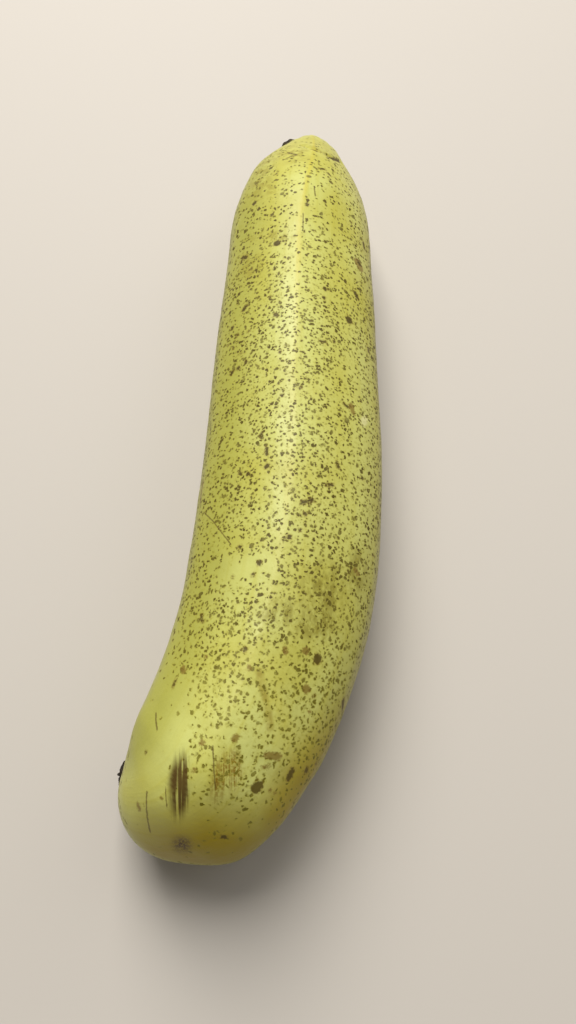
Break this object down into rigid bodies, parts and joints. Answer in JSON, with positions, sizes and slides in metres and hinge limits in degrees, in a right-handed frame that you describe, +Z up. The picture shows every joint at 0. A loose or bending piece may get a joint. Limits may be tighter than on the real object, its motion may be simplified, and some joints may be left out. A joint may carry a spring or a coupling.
{
  "type": "banana",
  "caption": "Whole ripe banana, gently curved and bluntly ribbed, lying on its flat side with a dry blossom tip and a short cut stem.",
  "frame": {"origin": "middle of the bounding box, on the surface that the fruit lies on", "axes": "+Y along the chord from the blossom end to the stem, +Z up, -X towards the hollow side that both ends curl to"},
  "size_m": [0.049, 0.1972, 0.0401],
  "materials": {
    "skin": "ripe banana skin, smooth and slightly glossy, yellow with brown freckles, dried dark brown at both ends"
  },
  "bodies": {
    "root": {"banana": "skin"}
  },
  "joints": []
}
